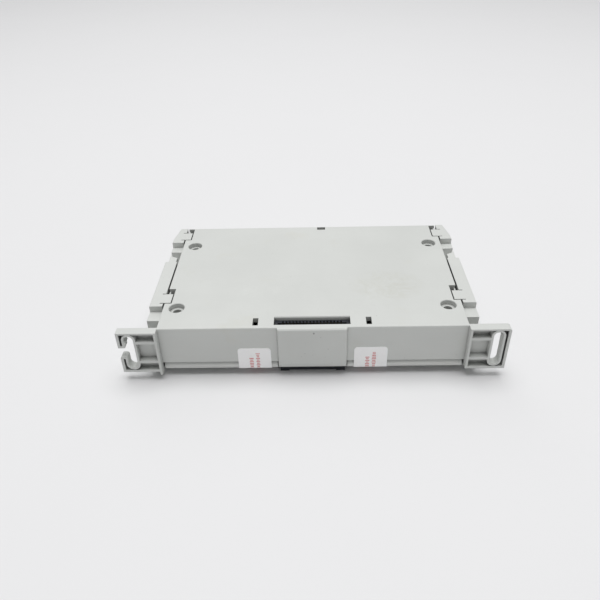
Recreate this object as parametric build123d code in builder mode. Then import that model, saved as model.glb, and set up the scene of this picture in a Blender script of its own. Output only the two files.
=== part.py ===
from build123d import *
import os

# Slim plug-in controller module, lying on its side as it is stacked: the mounting ears and the bus
# connector are on the rear (-Y) edge, the wiring door and the status window on the front (+Y) edge.
# Millimetres. +X along the case, +Y from the rear edge to the front edge, +Z through the stack.
# The origin is the centre of the footprint, on the plane that the module stands on.

os.makedirs("parts", exist_ok=True)

# ------------------------------------------------------------------ driving sizes
case_length = 113.6  # outside the end walls
case_depth = 76.2  # rear face to front face
case_height = 18.85  # underside of the base cover to the top face
foot_height = 3.7  # bus plug and hooks below the base cover
lug_height = 2.2  # locating lugs below the base cover
lug_length = 4.1
lug_rear_inset = 3.7
hook_length = 4.5
hook_stem_length = 1.5
hook_play = 0.3  # hook to the far end of its pocket
foot_side_play = 0.5
top_wall = 2.0
end_wall = 2.2
rear_wall = 1.5
front_wall = 2.0
edge_round = 0.4  # outer edges of the mouldings

cover_height = 2.95  # parting line above the underside
cover_plate = 1.8
cover_rim = 2.2
cover_side_gap = 0.6  # beside the ears
cover_band = 1.1  # plain band below the bevel
cover_bevel = 0.9
cover_lip_thickness = 0.5  # stands up inside the rear wall
cover_lip_height = 1.2
parting_gap = 0.45

snap_width = 6.0  # arms that hold the cover
snap_arm = 1.2
snap_catch = 0.5
snap_reach = 4.4  # arm above the parting line
snap_catch_height = 1.2
snap_play = 0.1
snap_end_play = 0.3
snap_rear_inset = 27.4
snap_front_inset = 27.4

boss_diameter = 5.6  # board bosses under the top wall
board_screw_thread = 2.0
board_screw_head = 4.4
board_screw_head_height = 1.5
board_screw_hole = 2.7
support_diameter = 4.4  # posts on the cover under the board
support_offset = 7.0

fixing_hole = 3.4  # clears an M3 screw
fixing_head = 5.9  # counterbore for its head
fixing_head_depth = 2.0
fixing_end_inset = 5.15  # hole centre in from the end wall
fixing_rear_inset = 13.2
fixing_front_inset = 16.2
fixing_lip = 0.25  # broken edge of the recess
pillar_diameter = 8.2

ear_reach = 14.6  # beyond the end wall
ear_standoff = 2.54  # mounting plane behind the rear face
ear_thickness = 3.47
ear_rim = 1.0
ear_web = 1.0
ear_rib = 1.1
ear_root_width = 0.9
ear_bottom_gap = 0.55  # ears stop above the underside
ear_slot_width = 3.5
ear_slot_length = 14.9
ear_ring_wall = 0.8
ear_slot_inset = 4.3  # slot centre in from the ear's outer edge
ear_entry = 4.3  # side entry of the open ear
ear_entry_lip = 0.9
ear_nib = 0.6  # holds the screw in the open slot

connector_box_width = 25.6
connector_box_proud = 1.25
connector_box_lift = 0.57

slide_width = 5.05
slide_gap = 0.65
slide_corner_width = 2.0  # lead-in on the far outer corner
slide_corner_length = 10.5
slide_travel = 3.2
slide_rail_height = 6.0  # the shell's flange under the slide
slide_rail_gap = 0.2
slide_rear_start = 8.4
ledge_drop = 2.55
near_ledge_length = 5.9
far_ledge_length = 4.3
far_block_length = 12.9
pocket_length = 12.1
pocket_depth = 8.4
nose_length = 7.1
nose_width = 3.6
nose_thickness = 1.55
nose_relief = 0.45  # beside the case
nose_slope = 3.1  # where the relief starts to widen
nose_knee_width = 2.7  # corner of the blunt tip
nose_knee_length = 4.2
tab_length = 5.9
tab_reach = 2.2  # over the case, past the end wall's outside
tab_root = 1.4  # slits beside the tab run this far into the slide
tab_slit = 0.4
tab_thickness = 1.15
tab_rear_inset = 16.6
tab_front_inset = 4.3
tab_skin = 0.6  # wall left outside the tab's slot
lip_thickness = 1.1
lip_depth = 3.3
toe_length = 0.9
toe_height = 1.1
tongue_width = 0.9
tongue_depth = 1.6
running_gap = 0.15
tab_gap = 0.45  # around the tabs

contact_count = 18
contact_pitch = 1.27
bus_slot_length = 28.1
bus_slot_depth = 4.75
bus_slot_rear_inset = 1.75
bus_lead_in = 0.3  # on the slot's front edge
bus_recess = 1.6  # top of the socket below the top face
bus_fit = 0.2
bus_channel_width = 3.0
bus_channel_depth = 4.2
bus_blade_width = 24.8
bus_blade_thickness = 2.4
bus_blade_reach = 3.15
bus_foot_width = 3.4
bus_flange_depth = 3.1
bus_flange_lift = 0.6
bus_flange_overlap = 0.4
key_hole_width = 2.0
key_hole_depth = 4.4
key_hole_offset = 20.85
key_hole_rear_gap = 0.1
cell_width = 0.7
cell_depth = 1.0
cell_height = 4.0
contact_width = 0.4

board_thickness = 1.6
board_height = 4.0  # underside of the board above the case's underside
board_end_gap = 1.7
board_rear_inset = 3.1
board_front_inset = 3.8
board_screw_end_inset = 18.5
board_screw_rear_inset = 20.6
board_screw_front_inset = 29.0

door_offset = 4.6  # door centre from the case's centre
door_length = 80.0
door_gap = 0.15
door_thickness = 1.4
door_barrel_radius = 1.5
door_axis_inset = 1.6
door_pin_radius = 0.8
door_pin_length = 1.6
door_pin_clearance = 0.06
door_set_back = 0.1
door_end_rib = 1.2
door_label_length = 64.0
door_label_depth = 0.25
hinge_boss = 3.4
hinge_boss_rise = 2.4  # above the hinge axis
latch_side_play = 0.3
latch_window_width = 3.6
latch_window_depth = 2.35
latch_window_front_inset = 0.4

pole_count = 12
pole_pitch = 5.08
block_flange = 6.5
block_front_inset = 2.9
block_depth = 10.8
header_depth = 6.0

window_width = 13.6
window_height = 8.2
window_end_inset = 3.5
led_columns = 4
window_play = 0.1
window_flange = 0.6
light_guide_width = 1.8

seal_width = 12.45
seal_rise = 9.4
seal_wrap = 8.4
seal_corner = 1.3
seal_thickness = 0.15
seal_offset = 21.75
rating_length = 60.0
rating_depth = 20.0
rating_y = 2.0

# ------------------------------------------------------------------ places that follow from them
rear_y = ear_standoff - (case_depth + ear_standoff) / 2
front_y = rear_y + case_depth
ear_front_y = rear_y - ear_standoff
ear_back_y = ear_front_y + ear_thickness
base_z = foot_height
top_z = base_z + case_height
ceiling_z = top_z - top_wall
parting_z = base_z + cover_height
rail_top_z = base_z + slide_rail_height
half_case = case_length / 2
inner_half = half_case - end_wall
slide_inner = half_case + slide_gap
slide_outer = slide_inner + slide_width
ear_outer = half_case + ear_reach
ear_cell_inner = half_case + ear_root_width
ear_low_z = base_z + ear_bottom_gap
ear_slot_x = ear_outer - ear_slot_inset
ear_slot_z = base_z + case_height / 2 + 0.6
board_z = base_z + board_height
board_top_z = board_z + board_thickness
fixing_points = [
    (side * (half_case - fixing_end_inset), y)
    for side in (-1, 1)
    for y in (rear_y + fixing_rear_inset, front_y - fixing_front_inset)
]
tab_starts = (rear_y + tab_rear_inset, front_y - tab_front_inset - tab_length)
pocket_end_y = front_y - far_block_length - far_ledge_length
pocket_start_y = pocket_end_y - pocket_length
bus_rear_y = rear_y + bus_slot_rear_inset
bus_front_y = bus_rear_y + bus_slot_depth
blade_rear_y = bus_rear_y + 0.35
blade_front_y = blade_rear_y + bus_blade_thickness
door_left = door_offset - door_length / 2
door_right = door_offset + door_length / 2
door_axis_y = front_y - door_axis_inset
door_axis_z = parting_z + 0.25 + door_barrel_radius
block_half = pole_count * pole_pitch / 2 + block_flange
block_front_y = front_y - block_front_inset
block_rear_y = block_front_y - block_depth
pole_places = [door_offset + (n - (pole_count - 1) / 2) * pole_pitch for n in range(pole_count)]
contact_places = [(n - (contact_count - 1) / 2) * contact_pitch for n in range(contact_count)]
window_centre_x = -(inner_half - window_end_inset - window_width / 2 + 2.4)
window_centre_z = (parting_z + ceiling_z) / 2
board_screw_points = [
    (side * (inner_half - board_screw_end_inset), y)
    for side in (-1, 1)
    for y in (rear_y + board_screw_rear_inset, front_y - board_screw_front_inset)
]
snap_catch_z = parting_z + 2.8
snap_points = (rear_y + snap_rear_inset, front_y - snap_front_inset)


def slab(x, y, z, mode=Mode.ADD):
    """A box between a low and a high value on each axis."""
    with Locations(((x[0] + x[1]) / 2, (y[0] + y[1]) / 2, (z[0] + z[1]) / 2)):
        Box(x[1] - x[0], y[1] - y[0], z[1] - z[0], mode=mode)


def span(side, low, high):
    """The same stretch of X on either side of the middle, as (low, high)."""
    return (low, high) if side > 0 else (-high, -low)


def post(point, diameter, low_z, high_z, mode=Mode.ADD):
    """An upright round post or hole."""
    with Locations((point[0], point[1], (low_z + high_z) / 2)):
        Cylinder(diameter / 2, high_z - low_z, mode=mode)


def save(builder, name):
    """Names the finished piece and writes it."""
    builder.part.label = name
    export_step(builder.part, f"parts/{name}.step")


# ------------------------------------------------------------------ the deep upper shell
def add_ear(side):
    """A ribbed mounting ear around a slot. The left one is open to its outer edge."""
    face = Plane.XZ.offset(-ear_front_y)
    slab(span(side, half_case, ear_outer), (ear_front_y, ear_back_y), (ear_low_z, top_z))
    entry_low = ear_slot_z - ear_entry / 2
    entry_high = ear_slot_z + ear_entry / 2
    cell_low = ear_low_z + ear_rim
    cell_high = top_z - 0.7 * ear_rim
    with BuildSketch(face) as cells:
        with Locations((side * (ear_cell_inner + ear_outer - ear_rim) / 2, (cell_low + cell_high) / 2)):
            Rectangle(ear_outer - ear_rim - ear_cell_inner, cell_high - cell_low)
        with Locations((side * ear_slot_x, ear_slot_z)):
            SlotOverall(ear_slot_length + 2 * ear_ring_wall, ear_slot_width + 2 * ear_ring_wall,
                        rotation=90, mode=Mode.SUBTRACT)
        for rib_z in (ear_slot_z - 4.65, ear_slot_z + 4.35):
            with Locations((side * (ear_cell_inner + ear_slot_x) / 2, rib_z)):
                Rectangle(ear_slot_x - ear_cell_inner, ear_rib, mode=Mode.SUBTRACT)
        if side < 0:
            for lip_z in (entry_low - ear_entry_lip / 2, entry_high + ear_entry_lip / 2):
                with Locations((side * (ear_slot_x + ear_outer) / 2, lip_z)):
                    Rectangle(ear_outer - ear_slot_x, ear_entry_lip, mode=Mode.SUBTRACT)
    extrude(cells.sketch, amount=-(ear_thickness - ear_web), mode=Mode.SUBTRACT)
    with BuildSketch(face) as slot:
        with Locations((side * ear_slot_x, ear_slot_z)):
            SlotOverall(ear_slot_length, ear_slot_width, rotation=90)
        if side < 0:
            with Locations((side * (ear_slot_x + ear_outer + 1) / 2, ear_slot_z)):
                Rectangle(ear_outer + 1 - ear_slot_x, ear_entry)
    extrude(slot.sketch, amount=-ear_thickness, mode=Mode.SUBTRACT)
    if side < 0:
        slot_side = -(ear_slot_x + ear_slot_width / 2)
        with BuildSketch(face) as nib:
            with BuildLine():
                Polyline((slot_side - 0.3, entry_high + 0.2), (slot_side + ear_nib, entry_high + 2.0),
                         (slot_side - 0.3, entry_high + 3.6), close=True)
            make_face()
        extrude(nib.sketch, amount=-ear_thickness)


def add_foot(side):
    """A locating lug behind each ear, and a hook that reaches into the next module's slide."""
    lug = span(side, slide_inner + foot_side_play, slide_outer - foot_side_play)
    lug_start = rear_y + lug_rear_inset
    slab(lug, (lug_start, lug_start + lug_length), (base_z - lug_height, base_z + 1))
    hook = span(side, slide_inner + foot_side_play, slide_inner + nose_width)
    hook_end = pocket_end_y - hook_play
    slab(hook, (hook_end - hook_stem_length, hook_end), (0, base_z + 1))
    slab(hook, (hook_end - hook_length, hook_end), (0, base_z - nose_thickness - 0.25))


box_half = connector_box_width / 2
box_face_y = rear_y - connector_box_proud
box_low_z = base_z + connector_box_lift
with BuildPart() as connector_box:
    with BuildSketch(Plane.XY.offset(base_z)) as box_plan:
        with Locations((0, (rear_y + rear_wall + box_face_y) / 2)):
            Rectangle(connector_box_width, rear_wall + connector_box_proud)
        fillet(box_plan.vertices().group_by(Axis.Y)[0], 0.7)
    extrude(amount=case_height)
    with BuildSketch(Plane.YZ.offset(-box_half)):
        with BuildLine():
            Polyline((rear_y + rear_wall, box_low_z), (box_face_y + 0.7, box_low_z),
                     (box_face_y, box_low_z + 1.8), (box_face_y, top_z - 0.5),
                     (box_face_y + 0.5, top_z), (rear_y + rear_wall, top_z), close=True)
        make_face()
    extrude(amount=connector_box_width, mode=Mode.INTERSECT)

with BuildPart() as case_shell:
    slab((-half_case, half_case), (rear_y, front_y), (base_z, top_z))
    fillet(case_shell.edges().filter_by(Axis.X).group_by(Axis.Z)[-1], edge_round)
    for side in (-1, 1):
        slab(span(side, half_case - 1, slide_outer), (rear_y, front_y), (base_z, rail_top_z))
        add_ear(side)
        add_foot(side)
    # the open ear's inner rib ends in a short foot
    slab((-ear_cell_inner, -half_case), (ear_front_y, ear_back_y), (base_z - 1.0, ear_low_z + 1))

    # inside of the shell, and the rebate that takes the base cover
    slab((-inner_half, inner_half), (rear_y + rear_wall, front_y - front_wall),
         (base_z, ceiling_z), Mode.SUBTRACT)
    slab((-half_case, half_case), (rear_y, front_y), (base_z, parting_z), Mode.SUBTRACT)

    # housing around the bus connector, proud of the rear face
    add(connector_box.part)

    # screw pillars, board bosses and hinge bosses
    for point in fixing_points:
        post(point, pillar_diameter, parting_z, ceiling_z + 0.5)
        post(point, fixing_hole, base_z, top_z, Mode.SUBTRACT)
        post(point, fixing_head, top_z - fixing_head_depth, top_z, Mode.SUBTRACT)
        with Locations((point[0], point[1], top_z - fixing_lip / 2)):
            Cone(fixing_head / 2, fixing_head / 2 + fixing_lip, fixing_lip, mode=Mode.SUBTRACT)
    for point in board_screw_points:
        post(point, boss_diameter, board_top_z, ceiling_z + 0.5)
        post(point, board_screw_thread, board_top_z, ceiling_z - 1.0, Mode.SUBTRACT)

    # bus slot and the two key holes beside it
    slab((-bus_slot_length / 2, bus_slot_length / 2), (bus_rear_y, bus_front_y),
         (ceiling_z - 1, top_z), Mode.SUBTRACT)
    with BuildSketch(Plane.YZ.offset(-bus_slot_length / 2)):
        with BuildLine():
            Polyline((bus_front_y, top_z - 1.5 * bus_lead_in), (bus_front_y + bus_lead_in, top_z),
                     (bus_front_y, top_z), close=True)
        make_face()
    extrude(amount=bus_slot_length, mode=Mode.SUBTRACT)
    key_hole_y = rear_y + rear_wall + key_hole_rear_gap
    for side in (-1, 1):
        slab((side * key_hole_offset - key_hole_width / 2, side * key_hole_offset + key_hole_width / 2),
             (key_hole_y, key_hole_y + key_hole_depth), (ceiling_z - 1, top_z), Mode.SUBTRACT)

    # wiring opening with its hinge bores, the latch window above it, and the status window
    slab((door_left, door_right), (front_y - front_wall, front_y), (base_z, ceiling_z), Mode.SUBTRACT)
    for boss in ((door_left - hinge_boss, door_left), (door_right, door_right + hinge_boss)):
        slab(boss, (front_y - hinge_boss, front_y), (parting_z, door_axis_z + hinge_boss_rise))
    with Locations(Location((door_offset, door_axis_y, door_axis_z), (0, 90, 0))):
        Cylinder(door_pin_radius + door_pin_clearance, door_length + 2 * (door_pin_length + 0.3),
                 mode=Mode.SUBTRACT)
    slab((door_offset - latch_window_width / 2, door_offset + latch_window_width / 2),
         (front_y - latch_window_front_inset - latch_window_depth, front_y - latch_window_front_inset),
         (ceiling_z - 0.5, top_z), Mode.SUBTRACT)
    with Locations((window_centre_x, front_y - front_wall / 2, window_centre_z)):
        Box(window_width + 2 * window_play, front_wall, window_height + 2 * window_play,
            mode=Mode.SUBTRACT)

    # notches for the slides' tabs, grooves for their tongues, recesses for the cover's snap arms
    for side in (-1, 1):
        for start in tab_starts:
            notch = (start - tab_gap, start + tab_length + slide_travel + tab_gap)
            notch_low = top_z - lip_depth - tab_gap
            slab(span(side, half_case - tab_reach - tab_gap, half_case - tab_skin), notch,
                 (notch_low, top_z), Mode.SUBTRACT)
            slab(span(side, half_case - tab_reach - toe_length - tab_gap, half_case - tab_skin), notch,
                 (notch_low, ceiling_z), Mode.SUBTRACT)
            slab(span(side, half_case - 2 * tab_skin, half_case), notch,
                 (top_z - tab_thickness - running_gap, top_z), Mode.SUBTRACT)
        groove_middle = slide_inner + slide_width / 2
        groove_half = tongue_width / 2 + running_gap
        slab(span(side, groove_middle - groove_half, groove_middle + groove_half),
             (rear_y + slide_rear_start - 0.6, front_y),
             (rail_top_z - tongue_depth - running_gap, rail_top_z), Mode.SUBTRACT)
        for y in snap_points:
            slab(span(side, inner_half - 0.1, inner_half + snap_catch + snap_play),
                 (y - snap_width / 2 - snap_end_play, y + snap_width / 2 + snap_end_play),
                 (snap_catch_z - snap_play, snap_catch_z + snap_catch_height + snap_end_play), Mode.SUBTRACT)

    entry_edges = [e for e in case_shell.edges().filter_by(Axis.Y)
                   if abs(e.center().Z - (ear_slot_z - ear_entry / 2)) < 0.01
                   and e.center().X < -ear_slot_x]
    fillet(entry_edges, 0.75)
    ear_corner = [e for e in case_shell.edges().filter_by(Axis.Y)
                  if abs(e.center().Z - top_z) < 0.01 and e.center().X > ear_outer - 0.01]
    fillet(ear_corner, 0.9)
save(case_shell, "case_shell")


# ------------------------------------------------------------------ the shallow base cover
cover_half = half_case - cover_side_gap
with BuildPart() as base_cover:
    slab((-cover_half, cover_half), (rear_y, front_y), (base_z, parting_z - parting_gap))
    slab((-cover_half + cover_rim, cover_half - cover_rim), (rear_y + cover_rim, front_y - cover_rim),
         (base_z + cover_plate, parting_z), Mode.SUBTRACT)
    for edge_y, inward in ((rear_y, 1), (front_y, -1)):
        with BuildSketch(Plane.YZ.offset(-cover_half)):
            with BuildLine():
                Polyline((edge_y, base_z + cover_band), (edge_y, parting_z),
                         (edge_y + inward * cover_bevel, parting_z),
                         (edge_y + inward * cover_bevel, parting_z - parting_gap), close=True)
            make_face()
        extrude(amount=2 * cover_half, mode=Mode.SUBTRACT)
    lip_y = rear_y + rear_wall + snap_play
    slab((-inner_half + 1, inner_half - 1), (lip_y, lip_y + cover_lip_thickness),
         (base_z + cover_plate - 0.5, parting_z + cover_lip_height))
    for point in fixing_points:
        post(point, pillar_diameter - 1.2, base_z, parting_z)
        post(point, fixing_hole, base_z, parting_z, Mode.SUBTRACT)
    for point in board_screw_points:
        post((point[0], point[1] + support_offset), support_diameter, base_z, board_z)
    bus_half = bus_blade_width / 2 + bus_flange_overlap + 0.3
    slab((-bus_half, bus_half), (rear_y, blade_rear_y + bus_flange_depth + 0.3),
         (base_z, parting_z + cover_lip_height), Mode.SUBTRACT)
    slab((-rating_length / 2 - 0.1, rating_length / 2 + 0.1),
         (rating_y - rating_depth / 2 - 0.1, rating_y + rating_depth / 2 + 0.1),
         (base_z, base_z + seal_thickness), Mode.SUBTRACT)
    for side in (-1, 1):
        for y in snap_points:
            arm = (y - snap_width / 2, y + snap_width / 2)
            slab(span(side, inner_half - snap_play - snap_arm, inner_half - snap_play), arm,
                 (base_z + 0.5, parting_z + snap_reach))
            slab(span(side, inner_half - snap_play - 0.5, inner_half + snap_catch - snap_play), arm,
                 (snap_catch_z, snap_catch_z + snap_catch_height))
save(base_cover, "base_cover")


# ------------------------------------------------------------------ coupling slides on the two ends
slide_bottom_z = rail_top_z + slide_rail_gap
ledge_z = top_z - ledge_drop


def make_slide(side):
    """A coupling slide: a profiled bar with two tabs over the case and a nose that locks the next module."""
    low_x = span(side, slide_inner, slide_outer)[0]
    near_block_y = rear_y + slide_rear_start + near_ledge_length
    with BuildPart() as bar:
        with BuildSketch(Plane.YZ.offset(low_x)):
            with BuildLine():
                Polyline((rear_y + slide_rear_start, slide_bottom_z), (front_y, slide_bottom_z),
                         (front_y, top_z), (front_y - far_block_length, top_z),
                         (front_y - far_block_length, ledge_z), (pocket_end_y, ledge_z),
                         (pocket_end_y, top_z - pocket_depth), (pocket_start_y, top_z - pocket_depth),
                         (pocket_start_y, top_z), (near_block_y, top_z), (near_block_y, ledge_z),
                         (rear_y + slide_rear_start, ledge_z), close=True)
            make_face()
        extrude(amount=slide_width)
        outer_edges = bar.edges().filter_by(Axis.Y).group_by(Axis.Z)[-1]
        fillet([e for e in outer_edges if abs(e.center().X) > slide_inner + 0.1], edge_round)
        with BuildSketch(Plane.XY.offset(slide_bottom_z)):
            with BuildLine():
                Polyline((side * (slide_outer - slide_corner_width), front_y),
                         (side * (slide_outer + 1), front_y),
                         (side * (slide_outer + 1), front_y - slide_corner_length),
                         (side * slide_outer, front_y - slide_corner_length), close=True)
            make_face()
        extrude(amount=top_z - slide_bottom_z, mode=Mode.SUBTRACT)
        nose_outer = slide_inner + nose_width
        with BuildSketch(Plane.XY.offset(top_z - nose_thickness)):
            with BuildLine():
                Polyline((side * slide_inner, pocket_start_y - 0.5),
                         (side * nose_outer, pocket_start_y - 0.5),
                         (side * nose_outer, pocket_start_y + nose_length),
                         (side * (slide_inner + nose_knee_width), pocket_start_y + nose_knee_length),
                         (side * (slide_inner + nose_relief), pocket_start_y + nose_slope),
                         (side * (slide_inner + nose_relief), pocket_start_y),
                         (side * slide_inner, pocket_start_y), close=True)
            make_face()
        extrude(amount=nose_thickness)
        for start in tab_starts:
            slits = ((start - tab_slit, start), (start + tab_length, start + tab_length + tab_slit))
            for slit in slits:
                slab(span(side, slide_inner, slide_inner + tab_root), slit,
                     (top_z - tab_thickness, top_z), Mode.SUBTRACT)
            tab_inner = half_case - tab_reach
            tab = (start, start + tab_length)
            slab(span(side, tab_inner, slide_inner + 0.1), tab, (top_z - tab_thickness, top_z))
            slab(span(side, tab_inner, tab_inner + lip_thickness), tab, (top_z - lip_depth, top_z))
            slab(span(side, tab_inner - toe_length, tab_inner + 0.1), tab,
                 (top_z - lip_depth, top_z - lip_depth + toe_height))
        tongue_middle = slide_inner + slide_width / 2
        slab(span(side, tongue_middle - tongue_width / 2, tongue_middle + tongue_width / 2),
             (rear_y + slide_rear_start, front_y), (rail_top_z - tongue_depth + running_gap, slide_bottom_z))
    return bar


for side, slide_name in ((-1, "coupling_slide_left"), (1, "coupling_slide_right")):
    save(make_slide(side), slide_name)


# ------------------------------------------------------------------ wiring door
door_front_y = front_y - door_set_back
door_top_z = ceiling_z - 0.35
with BuildPart() as terminal_door:
    slab((door_left + door_gap, door_right - door_gap), (door_front_y - door_thickness, door_front_y),
         (door_axis_z, door_top_z))
    with Locations(Location((door_offset, door_axis_y, door_axis_z), (0, 90, 0))):
        Cylinder(door_barrel_radius, door_length - 2 * door_gap)
        Cylinder(door_pin_radius, door_length + 2 * door_pin_length)
    for side in (-1, 1):
        edge_x = door_offset + side * (door_length / 2 - door_gap)
        rib_x = sorted((edge_x, edge_x - side * door_end_rib))
        slab(rib_x, (door_front_y - door_thickness - 1.2, door_front_y - 0.2),
             (door_axis_z, door_top_z - 0.4))
    # snap latch under the window in the top face
    latch_half = latch_window_width / 2 - latch_side_play
    slab((door_offset - latch_half, door_offset + latch_half),
         (door_front_y - door_thickness - 1.1, door_front_y - 0.2), (door_top_z - 4, door_top_z - 0.2))
    # recess for the label strip
    slab((door_offset - door_label_length / 2, door_offset + door_label_length / 2),
         (door_front_y - door_label_depth, door_front_y), (door_axis_z + 2.6, door_top_z - 1.6),
         Mode.SUBTRACT)
save(terminal_door, "terminal_door")

with BuildPart() as door_label:
    strip_half = door_label_length / 2 - 0.15
    slab((door_offset - strip_half, door_offset + strip_half),
         (door_front_y - door_label_depth, door_front_y - 0.05), (door_axis_z + 2.75, door_top_z - 1.75))
save(door_label, "door_label")


# ------------------------------------------------------------------ circuit board
board_end = inner_half - board_end_gap
board_rear_y = rear_y + board_rear_inset
board_front_y = front_y - board_front_inset
with BuildPart() as circuit_board:
    slab((-board_end, board_end), (board_rear_y, board_front_y), (board_z, board_top_z))
    for point in fixing_points:
        post(point, pillar_diameter + 0.6, board_z, board_top_z, Mode.SUBTRACT)
    for point in board_screw_points:
        post(point, board_screw_hole, board_z, board_top_z, Mode.SUBTRACT)
save(circuit_board, "circuit_board")

with BuildPart() as board_screws:
    for point in board_screw_points:
        head_z = board_z - board_screw_head_height
        post(point, board_screw_head, head_z, board_z)
        post(point, board_screw_thread, board_z, ceiling_z - 4)
        for slot in ((2.6, 0.6), (0.6, 2.6)):
            slab((point[0] - slot[0] / 2, point[0] + slot[0] / 2),
                 (point[1] - slot[1] / 2, point[1] + slot[1] / 2), (head_z, head_z + 0.5), Mode.SUBTRACT)
save(board_screws, "board_screws")


# ------------------------------------------------------------------ bus connectors
socket_half = bus_slot_length / 2 - bus_fit
socket_rear_y = bus_rear_y + bus_fit
socket_front_y = bus_front_y - bus_fit
socket_top_z = top_z - bus_recess
channel_front_y = bus_rear_y + bus_channel_width + bus_fit
channel_z = top_z - bus_channel_depth
cell_z = socket_top_z - cell_height
with BuildPart() as bus_socket:
    slab((-socket_half, socket_half), (socket_rear_y, socket_front_y), (board_top_z, socket_top_z))
    channel_half = bus_blade_width / 2 + bus_flange_overlap
    slab((-channel_half, channel_half), (socket_rear_y, channel_front_y),
         (channel_z, socket_top_z), Mode.SUBTRACT)
    for x in contact_places:
        slab((x - cell_width / 2, x + cell_width / 2), (channel_front_y, channel_front_y + cell_depth),
             (cell_z, socket_top_z), Mode.SUBTRACT)
save(bus_socket, "bus_socket")

with BuildPart() as bus_socket_contacts:
    for x in contact_places:
        with BuildSketch(Plane.YZ.offset(x - contact_width / 2)):
            with BuildLine():
                Polyline((channel_front_y + 0.6, cell_z), (channel_front_y + 0.9, cell_z),
                         (channel_front_y + 0.45, socket_top_z - 1.6),
                         (channel_front_y + 0.85, socket_top_z - 0.6),
                         (channel_front_y + 0.6, socket_top_z - 0.6),
                         (channel_front_y + 0.15, socket_top_z - 1.6), close=True)
            make_face()
        extrude(amount=contact_width)
save(bus_socket_contacts, "bus_socket_contacts")

with BuildPart() as bus_plug:
    slab((-bus_blade_width / 2, bus_blade_width / 2), (blade_rear_y, blade_front_y),
         (base_z - bus_blade_reach, board_z))
    flange_half = bus_blade_width / 2 + bus_flange_overlap
    slab((-flange_half, flange_half), (blade_rear_y, blade_rear_y + bus_flange_depth),
         (base_z + bus_flange_lift, board_z))
    for side in (-1, 1):
        slab(span(side, bus_blade_width / 2 - bus_foot_width, bus_blade_width / 2),
             (blade_rear_y, blade_front_y), (0, base_z))
save(bus_plug, "bus_plug")

with BuildPart() as bus_plug_contacts:
    for x in contact_places:
        slab((x - 0.22, x + 0.22), (blade_front_y, blade_front_y + 0.15),
             (base_z - bus_blade_reach + 0.4, base_z + bus_flange_lift))
save(bus_plug_contacts, "bus_plug_contacts")


# ------------------------------------------------------------------ screw terminals
block_low_z = board_top_z + 0.6
block_high_z = ceiling_z - 0.9
wire_z = block_low_z + 3.0
screw_z = wire_z + 4.0
header_rear_y = block_rear_y - header_depth
pin_rear_y = header_rear_y + 2.6
jack_places = [door_offset + side * (block_half - 3) for side in (-1, 1)]
jack_z = screw_z - 2


def bore(x, z, diameter, start_y, end_y, mode=Mode.SUBTRACT):
    """A round hole or rod along Y."""
    with Locations(Location((x, (start_y + end_y) / 2, z), (90, 0, 0))):
        Cylinder(diameter / 2, end_y - start_y, mode=mode)


def square(x, z, half, start_y, end_y, mode=Mode.SUBTRACT):
    """A square hole or bar along Y."""
    slab((x - half, x + half), (start_y, end_y), (z - half, z + half), mode)


with BuildPart() as terminal_block:
    slab((door_offset - block_half, door_offset + block_half), (block_rear_y, block_front_y),
         (block_low_z, block_high_z))
    for x in pole_places:
        square(x, wire_z, 1.8, block_front_y - 2.2, block_front_y)
        square(x, wire_z, 2.1, block_rear_y + 3.0, block_front_y - 2.0)
        square(x, wire_z, 0.7, block_rear_y, block_rear_y + 3.2)
        bore(x, screw_z, 3.7, block_front_y - 7.2, block_front_y)
    for x in jack_places:
        bore(x, jack_z, 2.6, block_rear_y, block_front_y)
        bore(x, jack_z, 4.6, block_front_y - 2, block_front_y)
save(terminal_block, "terminal_block")

with BuildPart() as terminal_screws:
    for x in pole_places:
        bore(x, screw_z, 3.4, block_front_y - 7.2, block_front_y - 1.0, Mode.ADD)
        slab((x - 1.4, x + 1.4), (block_front_y - 1.8, block_front_y - 1.0), (screw_z - 0.3, screw_z + 0.3),
             Mode.SUBTRACT)
save(terminal_screws, "terminal_screws")

with BuildPart() as terminal_cages:
    for x in pole_places:
        square(x, wire_z, 1.95, block_rear_y + 3.2, block_front_y - 2.2, Mode.ADD)
        square(x, wire_z, 1.4, block_rear_y + 3.2, block_front_y - 2.2)
save(terminal_cages, "terminal_cages")

with BuildPart() as block_screws:
    for x in jack_places:
        bore(x, jack_z, 4.3, block_front_y - 2.0, block_front_y - 0.4, Mode.ADD)
        bore(x, jack_z, 2.4, block_rear_y - 1.2, block_front_y - 1.2, Mode.ADD)
        slab((x - 1.7, x + 1.7), (block_front_y - 0.9, block_front_y - 0.4), (jack_z - 0.3, jack_z + 0.3),
             Mode.SUBTRACT)
save(block_screws, "block_screws")

with BuildPart() as terminal_header:
    slab((door_offset - block_half, door_offset + block_half), (header_rear_y, block_rear_y - 0.1),
         (board_top_z, block_high_z - 0.6))
    for x in jack_places:
        bore(x, jack_z, 2.6, block_rear_y - 4.1, block_rear_y - 0.1)
    for x in pole_places:
        square(x, wire_z, 0.4, pin_rear_y, block_rear_y - 0.1)
        slab((x - 0.4, x + 0.4), (pin_rear_y, pin_rear_y + 0.8), (board_top_z, wire_z), Mode.SUBTRACT)
save(terminal_header, "terminal_header")

with BuildPart() as header_pins:
    for x in pole_places:
        square(x, wire_z, 0.4, pin_rear_y, block_rear_y + 2.8, Mode.ADD)
        slab((x - 0.4, x + 0.4), (pin_rear_y, pin_rear_y + 0.8), (board_top_z, wire_z))
save(header_pins, "header_pins")


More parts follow.
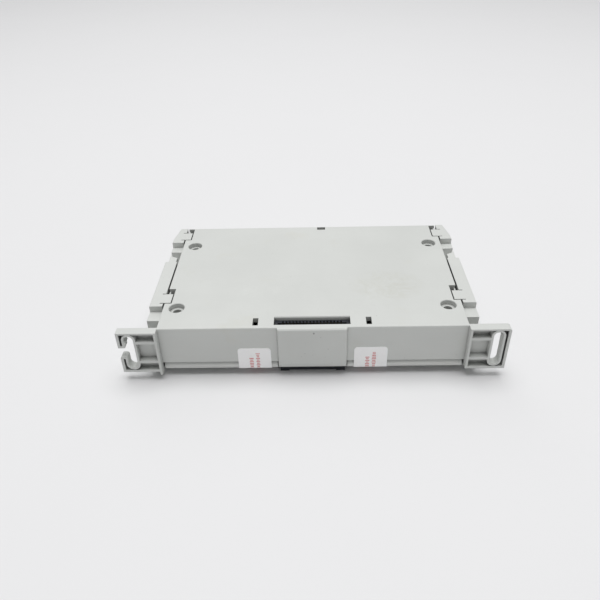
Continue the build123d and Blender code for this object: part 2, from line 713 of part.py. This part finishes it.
# ------------------------------------------------------------------ status lights
led_xs = [window_centre_x + (n - (led_columns - 1) / 2) * (window_width - 3) / (led_columns - 1)
          for n in range(led_columns)]
led_rows = ((window_centre_z - 2, board_front_y - 3.6), (window_centre_z + 2, board_front_y - 6.6))
lens_inner_y = front_y - front_wall
with BuildPart() as status_window:
    slab((window_centre_x - window_width / 2, window_centre_x + window_width / 2),
         (lens_inner_y - 0.1, front_y - 0.3),
         (window_centre_z - window_height / 2, window_centre_z + window_height / 2))
    with Locations((window_centre_x, lens_inner_y - 0.45, window_centre_z)):
        Box(window_width + 2 * window_flange, 0.9, window_height + 2 * window_flange)
save(status_window, "status_window")

guide_half = light_guide_width / 2
with BuildPart() as light_guides:
    for x in led_xs:
        for guide_z, led_y in led_rows:
            square(x, guide_z, guide_half, led_y - guide_half, lens_inner_y - 1.0, Mode.ADD)
            slab((x - guide_half, x + guide_half), (led_y - guide_half, led_y + guide_half),
                 (board_top_z + 0.9, guide_z))
save(light_guides, "light_guides")

with BuildPart() as status_leds:
    for x in led_xs:
        for guide_z, led_y in led_rows:
            slab((x - 0.8, x + 0.8), (led_y - 0.4, led_y + 0.4), (board_top_z, board_top_z + 0.7))
save(status_leds, "status_leds")


# ------------------------------------------------------------------ parts on the circuit board
def chip(centre, size):
    """A flat component body standing on the board."""
    with Locations((centre[0], centre[1], board_top_z + size[2] / 2)):
        Box(*size)


middle_y = (bus_rear_y + header_rear_y) / 2
with BuildPart() as interface_chip:
    chip((-12, middle_y - 3), (14, 14, 1.6))
    chamfer(interface_chip.edges().filter_by(Axis.Z), 0.8)
save(interface_chip, "interface_chip")

with BuildPart() as driver_chips:
    for n in range(3):
        chip((4 + 14 * n, middle_y + 8), (10.2, 7.4, 2.3))
save(driver_chips, "driver_chips")

with BuildPart() as optocouplers:
    for n in range(6):
        chip((door_offset + (n - 2.5) * 2 * pole_pitch, header_rear_y - 4.6), (6.4, 4.6, 3.5))
save(optocouplers, "optocouplers")

with BuildPart() as capacitors:
    for x in (7, 17, 27):
        post((x, middle_y - 8), 8, board_top_z, board_top_z + 10.2)
    fillet(capacitors.edges().filter_by(GeomType.CIRCLE).group_by(Axis.Z)[-1], 0.5)
save(capacitors, "capacitors")

with BuildPart() as power_inductor:
    chip((-42, middle_y + 2), (12, 12, 6))
    chamfer(power_inductor.edges().filter_by(Axis.Z), 2)
save(power_inductor, "power_inductor")

with BuildPart() as crystal:
    chip((-27, middle_y - 3), (4.6, 11, 3.4))
    fillet(crystal.edges().filter_by(Axis.Z), 2)
save(crystal, "crystal")

with BuildPart() as chip_resistors:
    for column in range(9):
        for row in range(2):
            chip((-26 + 2.6 * column, middle_y + 8 + 4 * row), (1.25, 2.0, 0.6))
save(chip_resistors, "chip_resistors")


# ------------------------------------------------------------------ labels
for side, seal_name in ((-1, "seal_label_left"), (1, "seal_label_right")):
    seal_x = (side * seal_offset - seal_width / 2, side * seal_offset + seal_width / 2)
    with BuildPart() as seal_label:
        slab(seal_x, (rear_y - seal_thickness, rear_y), (base_z - seal_thickness, base_z + seal_rise))
        fillet(seal_label.edges().filter_by(Axis.Y).group_by(Axis.Z)[-1], seal_corner)
        slab(seal_x, (rear_y - seal_thickness, rear_y + seal_wrap), (base_z - seal_thickness, base_z))
    save(seal_label, seal_name)

with BuildPart() as rating_label:
    slab((-rating_length / 2, rating_length / 2), (rating_y - rating_depth / 2, rating_y + rating_depth / 2),
         (base_z, base_z + seal_thickness))
save(rating_label, "rating_label")
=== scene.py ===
import math

import bpy
from mathutils import Matrix, Vector


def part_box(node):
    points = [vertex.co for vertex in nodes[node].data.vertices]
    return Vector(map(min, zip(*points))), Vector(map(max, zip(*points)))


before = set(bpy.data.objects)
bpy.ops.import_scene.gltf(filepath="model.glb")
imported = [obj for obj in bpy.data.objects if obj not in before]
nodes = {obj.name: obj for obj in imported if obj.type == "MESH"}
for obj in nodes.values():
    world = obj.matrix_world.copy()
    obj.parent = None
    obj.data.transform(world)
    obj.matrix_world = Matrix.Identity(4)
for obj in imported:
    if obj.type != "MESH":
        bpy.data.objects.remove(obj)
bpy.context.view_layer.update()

MM = 0.001
shell_low, shell_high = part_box("case_shell")

# marks of use on the case, in metres
SMUDGE_PLACE, SMUDGE_REACH = (0.030, -0.010), (0.016, 0.012)
RUB_PLACE, RUB_REACH = (-0.022, -0.013), (0.014, 0.005)
SPECK_ACROSS, SPECK_BELOW_TOP, SPECK_REACH = 0.0006, 0.0019, (0.0004, 0.0005)
HOUSING_DEPTH = 0.004  # the speck shows only this close to the rear

# the printed strokes on a seal label, in metres from its middle and its top edge
STROKE_COLUMNS = (-1.2 * MM, 1.25 * MM)
STROKE_STARTS = (4.6 * MM, 2.4 * MM)
STROKE_WIDTH = 1.7 * MM
STROKE_PITCH = 0.80 * MM

STRIP_CELLS = 12  # one cell of the writing strip for each terminal
FLOOR_SIZE = 6.0
FLOOR_DROP = 0.05 * MM


# ------------------------------------------------------------------ camera
def make_camera():
    """The photo's view: from behind the mounting edge, looking down over the long side."""
    place = Vector((0.69, -209.76, 156.51)) * MM
    pitch = math.radians(35.14)
    yaw = math.radians(-1.58)
    roll = math.radians(-1.68)
    level = math.cos(pitch)
    forward = Vector((math.sin(yaw) * level, math.cos(yaw) * level, -math.sin(pitch)))
    level_right = Vector((math.cos(yaw), -math.sin(yaw), 0))
    level_up = level_right.cross(forward)
    right = math.cos(roll) * level_right + math.sin(roll) * level_up
    up = math.cos(roll) * level_up - math.sin(roll) * level_right
    data = bpy.data.cameras.new("camera")
    data.sensor_width = 36
    data.lens = 36.21
    data.clip_start = 0.01
    data.clip_end = 20
    camera = bpy.data.objects.new("camera", data)
    camera.matrix_world = Matrix.Translation(place) @ Matrix((right, up, -forward)).transposed().to_4x4()
    bpy.context.scene.collection.objects.link(camera)
    bpy.context.scene.camera = camera
    bpy.context.scene.view_settings.view_transform = "Standard"


# ------------------------------------------------------------------ material helpers
class Shader:
    """A material with one Principled surface, and short calls for the nodes that feed it."""

    def __init__(self, name):
        self.material = bpy.data.materials.new(name)
        self.material.use_nodes = True
        self.tree = self.material.node_tree
        self.tree.nodes.clear()
        self.surface = self.tree.nodes.new("ShaderNodeBsdfPrincipled")
        output = self.tree.nodes.new("ShaderNodeOutputMaterial")
        self.tree.links.new(self.surface.outputs["BSDF"], output.inputs["Surface"])
        self.place = self.node("ShaderNodeTexCoord").outputs["Object"]

    def node(self, kind, **values):
        made = self.tree.nodes.new(kind)
        for key, value in values.items():
            setattr(made, key, value)
        return made

    def feed(self, socket, value):
        """Links a socket, or sets it where the value is a constant."""
        if isinstance(value, bpy.types.NodeSocket):
            self.tree.links.new(value, socket)
        else:
            socket.default_value = value

    def math(self, operation, *values, clamp=False):
        made = self.node("ShaderNodeMath", operation=operation, use_clamp=clamp)
        for socket, value in zip(made.inputs, values):
            self.feed(socket, value)
        return made.outputs[0]

    def noise(self, size, detail=2.0, roughness=0.5, stretch=(1, 1, 1), warp=0.0):
        """Noise with features of about this size, in metres."""
        mapping = self.node("ShaderNodeMapping")
        self.feed(mapping.inputs["Vector"], self.place)
        mapping.inputs["Scale"].default_value = [1 / s for s in stretch]
        made = self.node("ShaderNodeTexNoise")
        self.feed(made.inputs["Vector"], mapping.outputs[0])
        made.inputs["Scale"].default_value = 1 / size
        made.inputs["Detail"].default_value = detail
        made.inputs["Roughness"].default_value = roughness
        made.inputs["Distortion"].default_value = warp
        return made.outputs["Fac"]

    def spread(self, value, low, high, to_low=0.0, to_high=1.0):
        """Maps low..high to to_low..to_high, held at its ends."""
        made = self.node("ShaderNodeMapRange", clamp=True)
        for key, given in (("Value", value), ("From Min", low), ("From Max", high),
                           ("To Min", to_low), ("To Max", to_high)):
            self.feed(made.inputs[key], given)
        return made.outputs[0]

    def mix(self, share, first, second):
        made = self.node("ShaderNodeMix", data_type="RGBA")
        self.feed(made.inputs["Factor"], share)
        self.feed(made.inputs["A"], first)
        self.feed(made.inputs["B"], second)
        return made.outputs["Result"]

    def bump(self, height, distance, strength=1.0, over=None):
        made = self.node("ShaderNodeBump")
        made.inputs["Distance"].default_value = distance
        made.inputs["Strength"].default_value = strength
        self.feed(made.inputs["Height"], height)
        if over is not None:
            self.feed(made.inputs["Normal"], over)
        return made.outputs[0]

    def rounded(self, radius):
        """Surface directions as if the edges were rounded to this radius."""
        made = self.node("ShaderNodeBevel", samples=8)
        made.inputs["Radius"].default_value = radius
        return made.outputs[0]

    def edges(self, radius):
        """0 on flat stretches, 1 within about this radius of an edge."""
        normal = self.node("ShaderNodeNewGeometry").outputs["Normal"]
        dot = self.node("ShaderNodeVectorMath", operation="DOT_PRODUCT")
        self.feed(dot.inputs[0], self.rounded(radius))
        self.feed(dot.inputs[1], normal)
        return self.spread(dot.outputs["Value"], 1.0, 0.8)

    def hollows(self, distance, starts=0.75, full=0.15):
        """0 in the open, 1 deep in a gap or a corner."""
        shade = self.node("ShaderNodeAmbientOcclusion", samples=6)
        shade.inputs["Distance"].default_value = distance
        return self.spread(shade.outputs["AO"], starts, full)


def colour(hex_code):
    """A linear colour from its sRGB hex code."""
    parts = [int(hex_code[i:i + 2], 16) / 255 for i in (0, 2, 4)]
    return [p / 12.92 if p <= 0.04045 else ((p + 0.055) / 1.055) ** 2.4 for p in parts] + [1.0]


def scaled(base, factor):
    return [c * factor for c in base[:3]] + [1.0]


def moulded(name, base, rough=0.5, yellowing=0.0, recess_shade=0.55):
    """Moulded plastic: fine eroded grain, faint flow patches, pale edges that are partly wear and partly
    painted highlight, and painted shade in corners, gaps and recesses.
    """
    s = Shader(name)
    patches = s.noise(28 * MM, 3.0, 0.55)
    blotches = s.noise(7 * MM, 4.0, 0.6)
    flow = s.noise(9 * MM, 2.0, 0.5, stretch=(5, 1, 1))
    tone = s.mix(s.spread(patches, 0.35, 0.65), scaled(base, 0.975), scaled(base, 1.02))
    tone = s.mix(s.spread(flow, 0.45, 0.8, 0.0, 0.35), tone, scaled(base, 0.955))
    tone = s.mix(s.spread(blotches, 0.56, 0.78, 0.0, 0.30), tone, scaled(base, 0.93))
    warm = [base[0] * 0.93, base[1] * 0.90, base[2] * 0.80, 1.0]
    tone = s.mix(s.spread(s.noise(19 * MM, 3.0, 0.6), 0.60, 0.80, 0.0, yellowing), tone, warm)
    specks = s.spread(s.noise(0.9 * MM, 1.0), 0.77, 0.80, 0.0, 0.45)
    tone = s.mix(specks, tone, scaled(base, 0.55))
    # painted shade: darker within about 2.2 mm of corners, from ambient occlusion
    corners = s.math("MULTIPLY", s.hollows(2.2 * MM), 0.30)
    tone = s.mix(corners, tone, scaled(base, 0.52))
    # painted shade: narrow gaps and seams turned near black, from short-range ambient occlusion
    gap_shade = s.math("MULTIPLY", s.hollows(1.2 * MM, 0.66, 0.28), 0.85)
    tone = s.mix(gap_shade, tone, scaled(base, 0.15))
    # painted shade: recesses darkened from ambient occlusion over 4 mm
    recesses = s.math("MULTIPLY", s.hollows(4 * MM, 0.62, 0.18), recess_shade)
    tone = s.mix(recesses, tone, scaled(base, 0.26))
    # pale edges: partly wear, partly a painted highlight along the rims
    worn_and_lit_edges = s.math("MULTIPLY", s.edges(0.35 * MM), s.spread(blotches, 0.35, 0.65, 0.25, 0.85))
    s.base = s.mix(s.math("MULTIPLY", worn_and_lit_edges, 0.75), tone, scaled(base, 1.22))
    s.feed(s.surface.inputs["Base Color"], s.base)
    scuffs = s.noise(1.6 * MM, 5.0, 0.7, stretch=(3, 1, 1))
    s.feed(s.surface.inputs["Roughness"], s.spread(scuffs, 0.3, 0.7, rough - 0.07, rough + 0.09))
    fine = s.noise(0.16 * MM, 2.0, 0.6)
    broad = s.noise(14 * MM, 2.0, 0.5)
    relief = s.bump(fine, 0.02 * MM, 0.55, over=s.rounded(0.28 * MM))
    s.feed(s.surface.inputs["Normal"], s.bump(broad, 0.12 * MM, 0.35, over=relief))
    return s


def handled(s, base):
    """A finger smudge and a pale rub on the top face, and a dark speck on the connector housing."""
    split = s.node("ShaderNodeSeparateXYZ")
    s.feed(split.inputs[0], s.place)
    smears = s.spread(s.noise(6 * MM, 5.0, 0.7, warp=1.5), 0.38, 0.70)

    def patch(values, middles, reaches):
        """1 in the middle of an oval, 0 outside it."""
        along, across = [s.math("DIVIDE", s.math("SUBTRACT", value, middle), reach)
                         for value, middle, reach in zip(values, middles, reaches)]
        away = s.math("ADD", s.math("MULTIPLY", along, along), s.math("MULTIPLY", across, across))
        return s.spread(away, 0.15, 1.0, 1.0, 0.0)

    x, y, z = split.outputs
    smudge = patch((x, y), SMUDGE_PLACE, SMUDGE_REACH)
    rub = patch((x, y), RUB_PLACE, RUB_REACH)
    grime = [base[0] * 0.86, base[1] * 0.85, base[2] * 0.79, 1.0]
    tone = s.mix(s.math("MULTIPLY", s.math("MULTIPLY", smudge, smears), 0.60), s.base, grime)
    tone = s.mix(s.math("MULTIPLY", s.math("MULTIPLY", rub, smears), 0.45), tone, scaled(base, 1.08))
    on_housing = s.math("LESS_THAN", y, shell_low.y + HOUSING_DEPTH)
    speck_place = (SPECK_ACROSS, shell_high.z - SPECK_BELOW_TOP)
    speck = s.math("MULTIPLY", patch((x, z), speck_place, SPECK_REACH), on_housing)
    tone = s.mix(s.math("MULTIPLY", speck, 0.8), tone, scaled(base, 0.25))
    s.feed(s.surface.inputs["Base Color"], tone)
    return s


def connector_nylon(name):
    s = Shader(name)
    base = colour("1A1C22")
    mottle = s.noise(2.5 * MM, 4.0, 0.6)
    tone = s.mix(s.spread(mottle, 0.4, 0.7), base, colour("262931"))
    tone = s.mix(s.math("MULTIPLY", s.edges(0.25 * MM), 0.6), tone, colour("4A4D55"))
    s.feed(s.surface.inputs["Base Color"], tone)
    s.feed(s.surface.inputs["Roughness"], s.spread(mottle, 0.3, 0.7, 0.38, 0.55))
    s.feed(s.surface.inputs["Normal"], s.bump(s.noise(0.12 * MM, 2.0), 0.015 * MM, 0.5))
    return s


def metal(name, base, dark, rough, brush=(1, 1, 8)):
    s = Shader(name)
    streaks = s.noise(0.18 * MM, 4.0, 0.65, stretch=brush)
    stains = s.noise(2.2 * MM, 4.0, 0.6)
    tone = s.mix(s.spread(streaks, 0.3, 0.7), base, scaled(base, 0.86))
    tone = s.mix(s.spread(stains, 0.52, 0.75, 0.0, 0.6), tone, dark)
    s.feed(s.surface.inputs["Base Color"], tone)
    s.surface.inputs["Metallic"].default_value = 1.0
    s.feed(s.surface.inputs["Roughness"], s.spread(stains, 0.3, 0.75, rough, rough + 0.18))
    s.feed(s.surface.inputs["Normal"], s.bump(streaks, 0.01 * MM, 0.5))
    return s


def circuit_green(name):
    """Solder mask with faint copper tracks under it."""
    s = Shader(name)
    base = colour("1F5B38")
    split = s.node("ShaderNodeSeparateXYZ")
    s.feed(split.inputs[0], s.place)
    wander = s.spread(s.noise(11 * MM, 0.0), 0.0, 1.0, -3 * MM, 3 * MM)
    track = s.math("PINGPONG", s.math("ADD", split.outputs["Y"], wander), 0.65 * MM)
    lines = s.spread(track, 0.36 * MM, 0.42 * MM)
    fields = s.spread(s.noise(8 * MM, 0.0), 0.47, 0.49)
    copper = s.math("MULTIPLY", lines, fields)
    tone = s.mix(copper, base, colour("2F7B4C"))
    tone = s.mix(s.spread(s.noise(20 * MM, 3.0), 0.4, 0.7, 0.0, 0.4), tone, scaled(base, 0.8))
    s.feed(s.surface.inputs["Base Color"], tone)
    s.surface.inputs["Roughness"].default_value = 0.32
    s.feed(s.surface.inputs["Normal"], s.bump(copper, 0.03 * MM, 0.8))
    return s


def paper(name, tint="E9EAEA"):
    s = Shader(name)
    base = colour(tint)
    fibres = s.noise(0.35 * MM, 5.0, 0.7)
    tone = s.mix(s.spread(fibres, 0.35, 0.7), base, scaled(base, 0.965))
    tone = s.mix(s.spread(s.noise(6 * MM, 4.0, 0.65), 0.52, 0.78, 0.0, 0.5), tone, scaled(base, 0.90))
    s.base = tone
    s.surface.inputs["Coat Weight"].default_value = 0.8
    s.surface.inputs["Coat Roughness"].default_value = 0.35
    s.feed(s.surface.inputs["Base Color"], tone)
    s.feed(s.surface.inputs["Roughness"], s.spread(fibres, 0.3, 0.7, 0.42, 0.58))
    s.feed(s.surface.inputs["Normal"], s.bump(fibres, 0.01 * MM, 0.5))
    return s


def printed_strokes(s, column_centres, column_starts, ink):
    """Two upright columns of plain short strokes, each a little different in length. No lettering."""
    split = s.node("ShaderNodeSeparateXYZ")
    s.feed(split.inputs[0], s.place)
    across, up = split.outputs["X"], split.outputs["Z"]
    rows = s.math("DIVIDE", up, STROKE_PITCH)
    stroke = s.math("LESS_THAN", s.math("FRACT", rows), 0.58)
    number = s.math("FLOOR", rows)
    marks = None
    for centre, start_z in zip(column_centres, column_starts):
        random = s.node("ShaderNodeTexWhiteNoise", noise_dimensions="1D")
        s.feed(random.inputs["W"], s.math("ADD", number, centre * 900))
        reach = s.spread(random.outputs["Value"], 0.0, 1.0, 0.28 * STROKE_WIDTH, 0.5 * STROKE_WIDTH)
        inside = s.math("LESS_THAN", s.math("ABSOLUTE", s.math("SUBTRACT", across, centre)), reach)
        below = s.math("LESS_THAN", up, start_z)
        column = s.math("MULTIPLY", s.math("MULTIPLY", inside, below), stroke)
        marks = column if marks is None else s.math("MAXIMUM", marks, column)
    faded = s.math("MULTIPLY", marks, s.spread(s.noise(0.5 * MM, 3.0), 0.3, 0.7, 0.7, 0.95))
    s.feed(s.surface.inputs["Base Color"], s.mix(faded, s.base, ink))
    return s


def seal_paper(name, node):
    low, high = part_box(node)
    s = paper(name, "FCFCFC")
    middle = (low.x + high.x) / 2
    columns = [middle + offset for offset in STROKE_COLUMNS]
    starts = [high.z - start for start in STROKE_STARTS]
    return printed_strokes(s, columns, starts, colour("C8383C"))


def rating_paper(name, node):
    """A plain type plate: a frame line, ruled rows and a block of strokes."""
    low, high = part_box(node)
    s = paper(name, "DADBDA")
    split = s.node("ShaderNodeSeparateXYZ")
    s.feed(split.inputs[0], s.place)
    across, along = split.outputs["X"], split.outputs["Y"]
    from_left = s.math("SUBTRACT", across, low.x)
    from_front = s.math("SUBTRACT", high.y, along)
    edge = s.math("MINIMUM", s.math("MINIMUM", from_left, s.math("SUBTRACT", high.x, across)),
                  s.math("MINIMUM", from_front, s.math("SUBTRACT", along, low.y)))
    border = s.math("MULTIPLY", s.math("GREATER_THAN", edge, 0.9 * MM),
                    s.math("LESS_THAN", edge, 1.15 * MM))
    rows = s.math("DIVIDE", from_front, 2.6 * MM)
    number = s.math("FLOOR", rows)
    thin = s.math("LESS_THAN", s.math("ABSOLUTE", s.math("SUBTRACT", s.math("FRACT", rows), 0.5)), 0.17)
    random = s.node("ShaderNodeTexWhiteNoise", noise_dimensions="1D")
    s.feed(random.inputs["W"], number)
    reach = s.spread(random.outputs["Value"], 0.0, 1.0, 12 * MM, 40 * MM)
    inside = s.math("MULTIPLY", s.math("GREATER_THAN", from_left, 3 * MM),
                    s.math("LESS_THAN", from_left, reach))
    broken = s.math("LESS_THAN", s.math("FRACT", s.math("DIVIDE", from_left, 4.1 * MM)), 0.8)
    clear = s.math("GREATER_THAN", edge, 2.0 * MM)
    strokes = s.math("MULTIPLY", s.math("MULTIPLY", inside, broken), s.math("MULTIPLY", thin, clear))
    ink = s.math("MAXIMUM", border, strokes)
    s.feed(s.surface.inputs["Base Color"], s.mix(ink, s.base, colour("55585A")))
    return s


def strip_paper(name, node):
    """The door's writing strip: one cell for each terminal, left blank."""
    low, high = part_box(node)
    s = paper(name, "E4E5E2")
    split = s.node("ShaderNodeSeparateXYZ")
    s.feed(split.inputs[0], s.place)
    cell = (high.x - low.x) / STRIP_CELLS
    from_line = s.math("PINGPONG", s.math("SUBTRACT", split.outputs["X"], low.x), cell / 2)
    line = s.math("LESS_THAN", from_line, 0.12 * MM)
    middle = s.math("ABSOLUTE", s.math("SUBTRACT", split.outputs["Z"], (low.z + high.z) / 2))
    rule = s.math("LESS_THAN", middle, 0.1 * MM)
    ink = s.math("MULTIPLY", s.math("MAXIMUM", line, rule), 0.75)
    s.feed(s.surface.inputs["Base Color"], s.mix(ink, s.base, colour("7C8288")))
    return s


def clear_plastic(name, tint, rough, weight):
    s = Shader(name)
    cloud = s.noise(1.2 * MM, 4.0, 0.6)
    s.feed(s.surface.inputs["Base Color"], s.mix(s.spread(cloud, 0.4, 0.7), tint, scaled(tint, 0.85)))
    s.feed(s.surface.inputs["Roughness"], s.spread(cloud, 0.3, 0.7, rough, rough + 0.12))
    s.surface.inputs["Transmission Weight"].default_value = weight
    s.surface.inputs["IOR"].default_value = 1.49
    s.feed(s.surface.inputs["Normal"], s.bump(s.noise(0.4 * MM, 2.0), 0.005 * MM, 0.5))
    return s


def component_black(name):
    s = Shader(name)
    base = colour("202124")
    grit = s.noise(0.14 * MM, 3.0, 0.6)
    tone = s.mix(s.spread(s.noise(1.5 * MM, 3.0), 0.4, 0.7), base, colour("2C2E31"))
    tone = s.mix(s.math("MULTIPLY", s.edges(0.2 * MM), 0.5), tone, colour("55585C"))
    s.feed(s.surface.inputs["Base Color"], tone)
    s.feed(s.surface.inputs["Roughness"], s.spread(grit, 0.3, 0.7, 0.5, 0.7))
    s.feed(s.surface.inputs["Normal"], s.bump(grit, 0.02 * MM, 0.6))
    return s


# ------------------------------------------------------------------ finishes on the CAD nodes
def dress(shader, *names):
    for name in names:
        materials = nodes[name].data.materials
        if not materials:
            materials.append(shader.material)
        for slot in nodes[name].material_slots:
            slot.link = "OBJECT"
            slot.material = shader.material


def finish_nodes():
    case_grey = colour("CCCECB")
    dress(handled(moulded("case_plastic", case_grey, yellowing=0.35), case_grey), "case_shell")
    # only a little painted shade in the cover's recesses
    cover_plastic = moulded("cover_plastic", scaled(case_grey, 1.03), yellowing=0.3, recess_shade=0.1)
    dress(cover_plastic, "base_cover")
    dress(moulded("slide_plastic", scaled(case_grey, 1.02), rough=0.46),
          "coupling_slide_left", "coupling_slide_right")
    dress(moulded("door_plastic", scaled(case_grey, 0.97), rough=0.47), "terminal_door")
    dress(connector_nylon("connector_nylon"), "bus_socket", "bus_plug")
    dress(component_black("terminal_black"), "terminal_block", "terminal_header")
    dress(metal("contact_gold", colour("D9B56A"), colour("8D6B35"), 0.22),
          "bus_plug_contacts", "header_pins", "terminal_cages")
    dress(metal("contact_dull", colour("4C4638"), colour("2A2620"), 0.45), "bus_socket_contacts")
    dress(metal("screw_zinc", colour("B9BAB6"), colour("7C7B76"), 0.30, brush=(1, 8, 1)),
          "terminal_screws", "block_screws", "board_screws")
    dress(circuit_green("circuit_green"), "circuit_board")
    dress(component_black("component_black"), "interface_chip", "driver_chips", "optocouplers",
          "power_inductor", "chip_resistors")
    dress(metal("can_aluminium", colour("C4C6C9"), colour("8E9093"), 0.25), "capacitors", "crystal")
    for name in ("seal_label_left", "seal_label_right"):
        dress(seal_paper(name + "_paper", name), name)
    dress(rating_paper("rating_paper", "rating_label"), "rating_label")
    dress(strip_paper("strip_paper", "door_label"), "door_label")
    dress(clear_plastic("smoked_window", colour("B9C0C2"), 0.05, 0.92), "status_window")
    dress(clear_plastic("light_guide", colour("E9EEEC"), 0.15, 0.15), "light_guides")
    dress(clear_plastic("led_lens", colour("C9DB86"), 0.25, 0.2), "status_leds")


# ------------------------------------------------------------------ floor and light
def make_stage():
    """A plain pale floor and soft overhead light, stronger from the far side."""
    s = Shader("floor")
    base = colour("E3E3E4")
    tone = s.mix(s.spread(s.noise(0.12, 4.0, 0.6), 0.45, 0.75, 0.0, 0.5), base, scaled(base, 0.985))
    s.feed(s.surface.inputs["Base Color"], tone)
    s.surface.inputs["Roughness"].default_value = 0.75
    s.surface.inputs["Specular IOR Level"].default_value = 0.2
    mesh = bpy.data.meshes.new("floor")
    corners = [(x * FLOOR_SIZE, y * FLOOR_SIZE, 0) for x, y in ((-1, -1), (1, -1), (1, 1), (-1, 1))]
    mesh.from_pydata(corners, [], [(0, 1, 2, 3)])
    floor = bpy.data.objects.new("floor", mesh)
    floor.location.z = -FLOOR_DROP
    floor.data.materials.append(s.material)
    bpy.context.scene.collection.objects.link(floor)

    world = bpy.data.worlds.new("studio")
    world.use_nodes = True
    backdrop = world.node_tree.nodes["Background"]
    backdrop.inputs["Color"].default_value = (1.0, 1.0, 1.0, 1.0)
    backdrop.inputs["Strength"].default_value = 0.32
    bpy.context.scene.world = world

    def lamp(name, place, aim, size, power):
        data = bpy.data.lights.new(name, "AREA")
        data.shape = "DISK"
        data.size = size
        data.energy = power
        item = bpy.data.objects.new(name, data)
        item.location = place
        item.rotation_mode = "QUATERNION"
        item.rotation_quaternion = (Vector(aim) - Vector(place)).to_track_quat("-Z", "Y")
        bpy.context.scene.collection.objects.link(item)

    lamp("back_softbox", (-0.3, 1.2, 1.0), (0, 0.4, 0), 1.2, 2.6)
    lamp("top_softbox", (0.05, 0.02, 1.5), (0, 0.02, 0), 1.4, 19.6)


make_camera()
make_stage()
finish_nodes()
